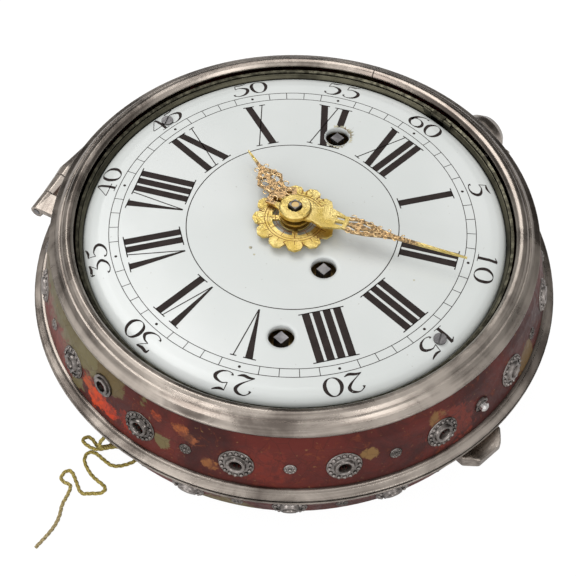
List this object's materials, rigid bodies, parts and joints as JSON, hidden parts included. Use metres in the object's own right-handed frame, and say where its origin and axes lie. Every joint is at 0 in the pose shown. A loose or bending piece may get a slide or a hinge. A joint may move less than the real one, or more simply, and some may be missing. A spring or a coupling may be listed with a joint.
{
  "type": "coach clock",
  "caption": "Large travelling watch with striking and alarm work in a hinged, pierced double case",
  "frame": {"origin": "centre of the flat underside of the back shell, where the clock rests", "axes": "+Z out of the dial, +Y towards XII and the pendant, +X towards III"},
  "size_m": [0.1366, 0.1613, 0.0546],
  "materials": {
    "silver": "worn silver, tarnished in its grooves",
    "horn": "thin horn over red paint, crazed, with bare patches",
    "steel": "filed steel",
    "brass": "turned brass",
    "bell_metal": "cast bell metal",
    "dark_bronze": "dark worn bronze",
    "enamel": "white enamel with black numerals",
    "gilt": "fire-gilt, engraved",
    "cord": "twisted cord"
  },
  "bodies": {
    "back_case": {"back_joint_ring": "silver", "back_shell": "horn", "back_rosettes": "silver", "back_studs": "silver", "cord_eyelet": "silver", "cord_bush": "silver", "back_hinge": "silver", "hinge_pin": "steel", "pendant": "silver", "bow_pin": "steel", "thumb_lip": "silver", "catch_keeper": "steel", "inner_case": "brass", "bell": "bell_metal", "bell_stud": "steel", "bell_nut": "steel", "movement_pin": "steel", "pull_cord": "cord"},
    "front_case": {"front_bezel": "silver", "front_band": "horn", "front_rosettes": "silver", "front_studs": "silver", "front_eyelet": "silver", "pin_bush": "silver", "front_joint_ring": "silver", "front_hinge": "silver"},
    "catch": {"push_pin": "steel", "catch_plate": "steel"},
    "bow": {"bow": "silver"},
    "movement": {"dial_ring": "dark_bronze", "dial": "enamel", "dial_screws": "steel", "front_plate": "brass", "back_plate": "brass", "pillars": "brass", "potence": "brass", "balance_cock": "brass"},
    "minute": {"centre_wheel": "brass", "cannon_pinion": "steel", "minute_hand": "gilt", "hand_collar": "gilt"},
    "hour": {"hour_wheel": "brass", "hour_hand": "gilt"},
    "alarm_set": {"alarm_disc": "gilt"},
    "motion": {"minute_wheel": "brass"},
    "going_winder": {"going_arbor": "steel"},
    "strike_winder": {"strike_arbor": "steel"},
    "alarm_winder": {"alarm_arbor": "steel"},
    "going_drum": {"going_barrel": "brass"},
    "strike_drum": {"strike_barrel": "brass"},
    "alarm_drum": {"alarm_barrel": "brass"},
    "third": {"third_wheel": "brass"},
    "contrate": {"contrate_wheel": "brass"},
    "crown": {"crown_wheel": "brass"},
    "balance": {"verge": "steel", "balance_wheel": "brass", "balance_spring": "steel"},
    "hammer": {"hammer": "steel"},
    "repeat": {"repeat_pulley": "brass"}
  },
  "joints": [
    {"name": "case_hinge", "type": "hinge", "parent": "back_case", "child": "front_case", "pos_m": [-0.06413, -0.0201, 0.02875], "axis": [0.299, -0.9542, 0], "range_deg": [0, 105]},
    {"name": "catch_slide", "type": "slide", "parent": "front_case", "child": "catch", "axis": [-1, 0, 0], "range_m": [0, 0.0015], "stiffness_N_per_m": 300},
    {"name": "bow_pivot", "type": "hinge", "parent": "back_case", "child": "bow", "pos_m": [0, 0.0696, 0.025], "axis": [1, 0, 0], "range_deg": [-15, 165]},
    {"name": "movement_hinge", "type": "hinge", "parent": "back_case", "child": "movement", "pos_m": [0, 0.0502, 0.04785], "axis": [-1, 0, 0], "range_deg": [0, 75]},
    {"name": "minute_spin", "type": "hinge", "parent": "movement", "child": "minute", "pos_m": [0, 0, 0.05], "axis": [0, 0, 1], "continuous": true},
    {"name": "hour_spin", "type": "hinge", "parent": "movement", "child": "hour", "pos_m": [0, 0, 0.05], "axis": [0, 0, 1], "continuous": true},
    {"name": "alarm_setting", "type": "hinge", "parent": "hour", "child": "alarm_set", "pos_m": [0, 0, 0.0494], "axis": [0, 0, 1], "continuous": true},
    {"name": "motion_spin", "type": "hinge", "parent": "movement", "child": "motion", "pos_m": [-0.004, 0.00693, 0.044], "axis": [0, 0, 1], "continuous": true},
    {"name": "going_winding", "type": "hinge", "parent": "movement", "child": "going_winder", "pos_m": [0.0142, -0.0045, 0.04], "axis": [0, 0, -1], "range_deg": [0, 1440]},
    {"name": "strike_winding", "type": "hinge", "parent": "movement", "child": "strike_winder", "pos_m": [-0.0128, 0.0272, 0.04], "axis": [0, 0, -1], "range_deg": [0, 1440]},
    {"name": "alarm_winding", "type": "hinge", "parent": "movement", "child": "alarm_winder", "pos_m": [0.0213, -0.0249, 0.04], "axis": [0, 0, -1], "range_deg": [0, 1440]},
    {"name": "going_barrel_spin", "type": "hinge", "parent": "movement", "child": "going_drum", "pos_m": [0.0142, -0.0045, 0.032], "axis": [0, 0, 1], "continuous": true},
    {"name": "strike_barrel_spin", "type": "hinge", "parent": "movement", "child": "strike_drum", "pos_m": [-0.0128, 0.0272, 0.032], "axis": [0, 0, 1], "continuous": true},
    {"name": "alarm_barrel_spin", "type": "hinge", "parent": "movement", "child": "alarm_drum", "pos_m": [0.0213, -0.0249, 0.032], "axis": [0, 0, 1], "continuous": true},
    {"name": "third_spin", "type": "hinge", "parent": "movement", "child": "third", "pos_m": [-0.01222, -0.00445, 0.035], "axis": [0, 0, 1], "continuous": true},
    {"name": "contrate_spin", "type": "hinge", "parent": "movement", "child": "contrate", "pos_m": [-0.01222, -0.01565, 0.03], "axis": [0, 0, 1], "continuous": true},
    {"name": "crown_spin", "type": "hinge", "parent": "movement", "child": "crown", "pos_m": [-0.024, -0.01565, 0.03078], "axis": [1, 0, 0], "continuous": true},
    {"name": "balance_swing", "type": "hinge", "parent": "movement", "child": "balance", "pos_m": [-0.02862, -0.01565, 0.02], "axis": [0, 0, 1], "range_deg": [-135, 135], "stiffness_Nm_per_rad": 0.0001},
    {"name": "hammer_swing", "type": "hinge", "parent": "movement", "child": "hammer", "pos_m": [0.02, 0.032, 0.02], "axis": [0, 0, 1], "range_deg": [-20, 0], "stiffness_Nm_per_rad": 0.005},
    {"name": "repeat_turn", "type": "hinge", "parent": "movement", "child": "repeat", "pos_m": [-0.003, -0.033, 0.02], "axis": [0, 0, 1], "range_deg": [0, 180], "stiffness_Nm_per_rad": 0.002}
  ],
  "couplings": [
    {"joint": "minute_spin", "follows": "going_barrel_spin", "ratio": -6},
    {"joint": "third_spin", "follows": "going_barrel_spin", "ratio": 42},
    {"joint": "motion_spin", "follows": "going_barrel_spin", "ratio": 2},
    {"joint": "hour_spin", "follows": "going_barrel_spin", "ratio": -0.5},
    {"joint": "contrate_spin", "follows": "going_barrel_spin", "ratio": -280},
    {"joint": "crown_spin", "follows": "going_barrel_spin", "ratio": 1400}
  ]
}
